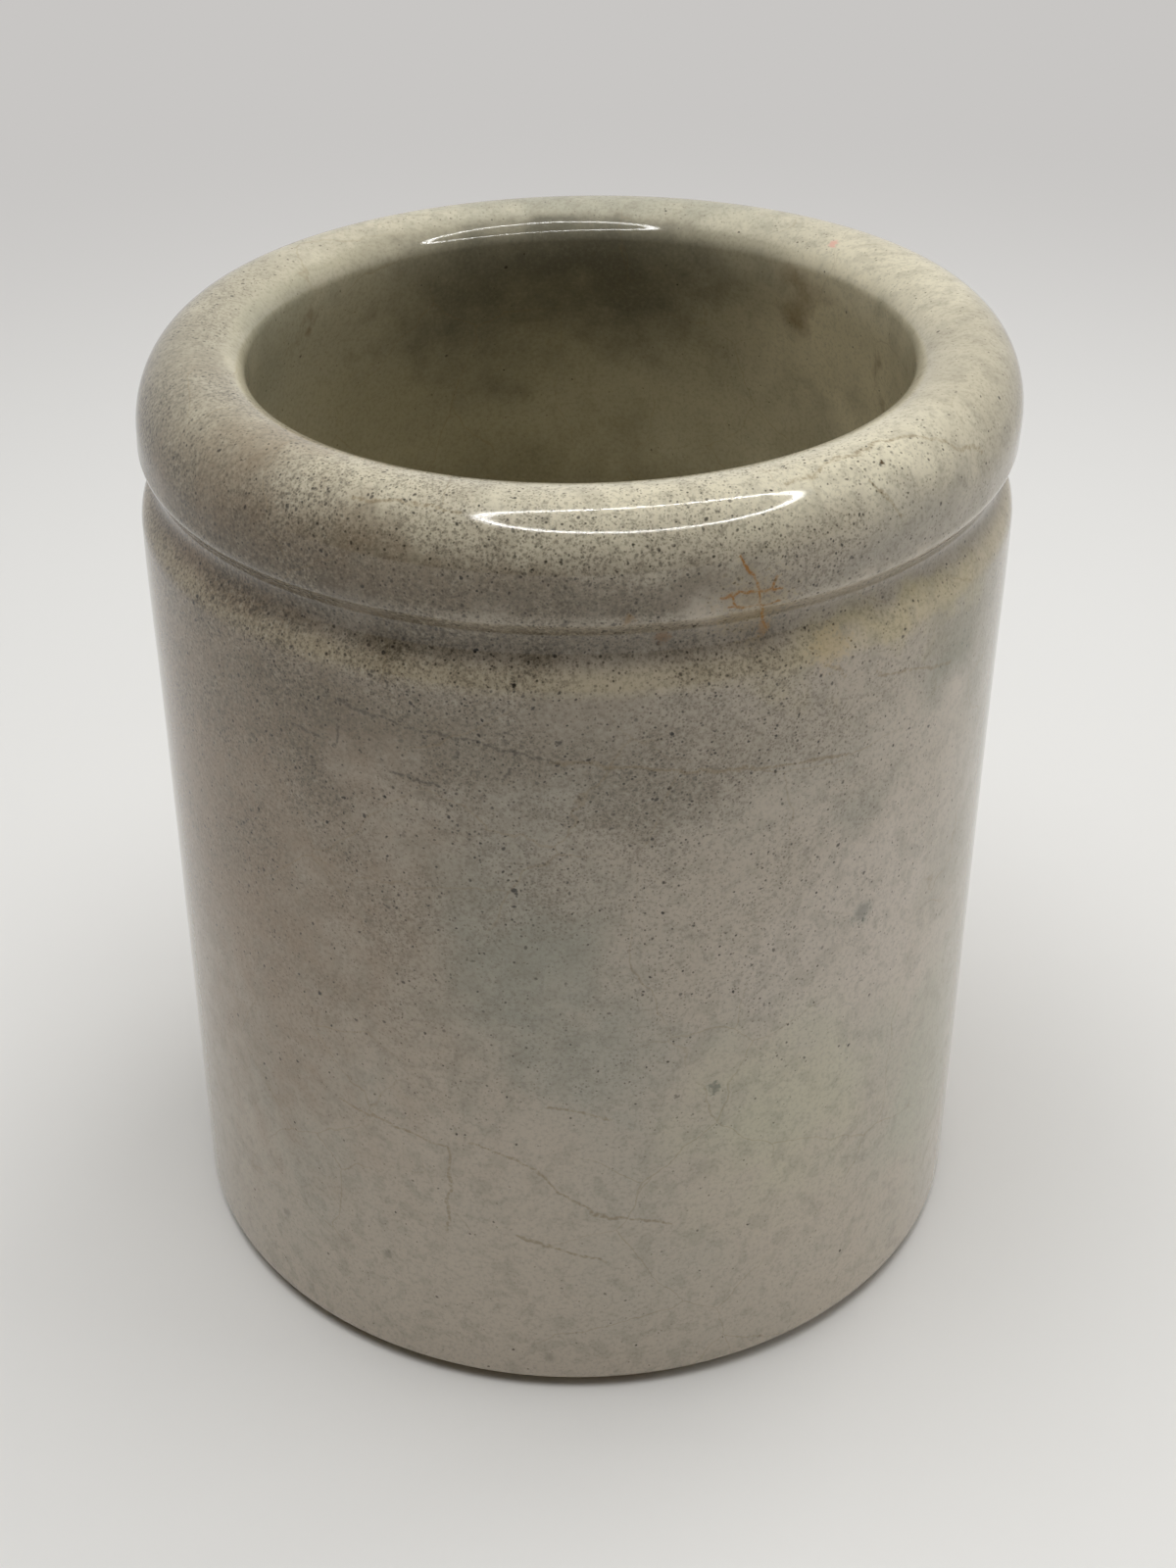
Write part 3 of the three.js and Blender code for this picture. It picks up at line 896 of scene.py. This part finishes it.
floor_corners = [(-FLOOR_REACH, -FLOOR_REACH, 0), (FLOOR_REACH, -FLOOR_REACH, 0)]
floor_corners += [(FLOOR_REACH, FLOOR_REACH, 0), (-FLOOR_REACH, FLOOR_REACH, 0)]
floor_mesh = bpy.data.meshes.new("paper_floor")
floor_mesh.from_pydata(floor_corners, [], [(0, 1, 2, 3)])
paper_floor = bpy.data.objects.new("paper_floor", floor_mesh)
scene.collection.objects.link(paper_floor)

# Gives the eye a quiet ground that carries only the shadow
paper = empty_material("matt_white_paper")
sheet = paper.node_tree
floor_place = add(sheet, "TexCoord", out="Object")
far_out = add(sheet, "VectorMath", {0: floor_place}, operation="LENGTH", out="Value")
paper_to_grey = {"From Min": FADE_FROM, "From Max": FADE_FULL}
fade = add(sheet, "MapRange", {"Value": far_out, **paper_to_grey}, **SMOOTH)
looked_at = looking(sheet)[1]
fade = add(sheet, "Math", {0: fade, 1: looked_at}, operation="MULTIPLY")
lit_paper = add(sheet, "BsdfDiffuse", {"Color": colour(PAPER_WHITE)}, out="BSDF")
even_grey = add(sheet, "Emission", {"Color": colour(BACKDROP_GREY), "Strength": 1.0}, out="Emission")
surface = add(sheet, "MixShader", {0: fade, 1: lit_paper, 2: even_grey}, out="Shader")
add(sheet, "OutputMaterial", {"Surface": surface})
floor_mesh.materials.append(paper)
print("Paper reaches", FLOOR_REACH, "m each way")

# %% [markdown]
# ## The light
#
# The photograph was lit from above by soft light, a little stronger from the right, and the side towards the
# viewer stays in shade. A large overhead lamp does most of that, and four small ones even it out. They are
# left out of reflections, where the glossy rim shows one thing only: a ring lamp, as a thin bright loop,
# dashed by its many diodes. The ring gives just that reflection, so its strength suits the loop alone.

# %% Hang the soft lamps
LAMPS = (
    # name, place, size in metres, watts
    ("overhead", (0.0, 0.0, 1.0), 0.8, 7.2),
    ("left_side", (-0.36, 0.0, 0.77), 0.5, 1.2),
    ("right_side", (0.8, 0.0, 0.37), 0.5, 1.45),
    ("right_behind", (0.45, 0.45, 0.6), 0.5, 1.25),
    ("over_viewer", (0.0, -0.36, 0.77), 0.5, 0.4),
)
LAMP_AIM = Vector((0.0, 0.0, 50 * MM))  # the middle of the jar

for name, location, size, watts in LAMPS:
    lamp_data = bpy.data.lights.new(name, "AREA")
    lamp_data.size = size
    lamp_data.energy = watts
    lamp = bpy.data.objects.new(name, lamp_data)
    lamp.location = location
    lamp.rotation_euler = (LAMP_AIM - lamp.location).to_track_quat("-Z", "Y").to_euler()
    lamp.visible_camera = False
    lamp.visible_glossy = False
    scene.collection.objects.link(lamp)
print(len(LAMPS), "soft lamps,", round(sum(row[3] for row in LAMPS), 1), "watts")

# %% Hang the ring lamp
RING_CENTRE = (70.0, -143.0, 398.0)  # millimetres
RING_RADIUS = 182.0
RING_OVAL = 0.77
TUBE_RADIUS = 8.0
RING_STEPS = 64
TUBE_STEPS = 8
RING_STRENGTH = 40.0
DIODES = 90

bpy.ops.mesh.primitive_torus_add(
    location=[v * MM for v in RING_CENTRE], major_radius=RING_RADIUS * MM, minor_radius=TUBE_RADIUS * MM,
    major_segments=RING_STEPS, minor_segments=TUBE_STEPS,
)
ring_lamp = bpy.context.object
ring_lamp.name = "ring_lamp"
ring_lamp.scale[1] = RING_OVAL
ring_lamp.visible_camera = False
ring_lamp.visible_diffuse = False
ring_lamp.visible_shadow = False

# Gives the eye one thin, dashed loop on the rim
diode_strip = empty_material("glowing_diode_strip")
glow = diode_strip.node_tree
round_ring = add(glow, "TexCoord", out="Object")
ring_x, ring_y = add(glow, "SeparateXYZ", {0: round_ring}, out=("X", "Y"))
turn_angle = add(glow, "Math", {0: ring_y, 1: ring_x}, operation="ARCTAN2")
diode = add(glow, "Math", {0: turn_angle, 1: float(DIODES)}, operation="MULTIPLY")
diode = add(glow, "Math", {0: diode}, operation="SINE")
lit_and_gap = {"From Min": -0.4, "From Max": 0.1, "To Min": 0.0, "To Max": RING_STRENGTH}
diode = add(glow, "MapRange", {"Value": diode, **lit_and_gap})
surface = add(glow, "Emission", {"Strength": diode}, out="Emission")
add(glow, "OutputMaterial", {"Surface": surface})
ring_lamp.data.materials.append(diode_strip)
print("Ring lamp of", DIODES, "diodes,", round(2 * RING_RADIUS), "mm across")

# %% [markdown]
# ## The room
#
# The glaze mirrors the room at grazing angles, so the room matters even though the lamps give all the light.
# It is pale to the sides and behind, and dark towards the viewer. A modelled room would show the same, but a
# world shader does it in a few nodes. The camera itself sees an even pale grey.

# %% Paint the room
ROOM_DARK = "#57534e"
PALE_DOWN_TO = 0.1  # share of a direction that points to the back
DARK_FROM = -0.7

world = bpy.data.worlds.new("pale_room")
scene.world = world
world.use_nodes = True
room = world.node_tree
room.nodes.clear()
direction = add(room, "TexCoord", out="Generated")
to_back = add(room, "SeparateXYZ", {0: direction}, out="Y")
pale_to_dark = {"From Min": PALE_DOWN_TO, "From Max": DARK_FROM}
to_viewer = add(room, "MapRange", {"Value": to_back, **pale_to_dark}, **SMOOTH)
pale = colour(BACKDROP_GREY)
mirrored_room = add(room, "Mix", {0: to_viewer, MIX_A: pale, MIX_B: colour(ROOM_DARK)}, **RGBA)
seen, looked_at = looking(room)
shown = add(room, "Mix", {0: seen, MIX_A: mirrored_room, MIX_B: pale}, **RGBA)
surface = add(room, "Background", {"Color": shown, "Strength": looked_at}, out="Background")
add(room, "OutputWorld", {"Surface": surface})
print(len(room.nodes), "nodes in the room")

# %% [markdown]
# ## Handing over
#
# The rebuilt jar keeps the size of the CAD model, because others will set things beside it. A warped pot may
# stand a few tenths of a millimetre proud.

# %% Update the scene
bpy.context.view_layer.update()
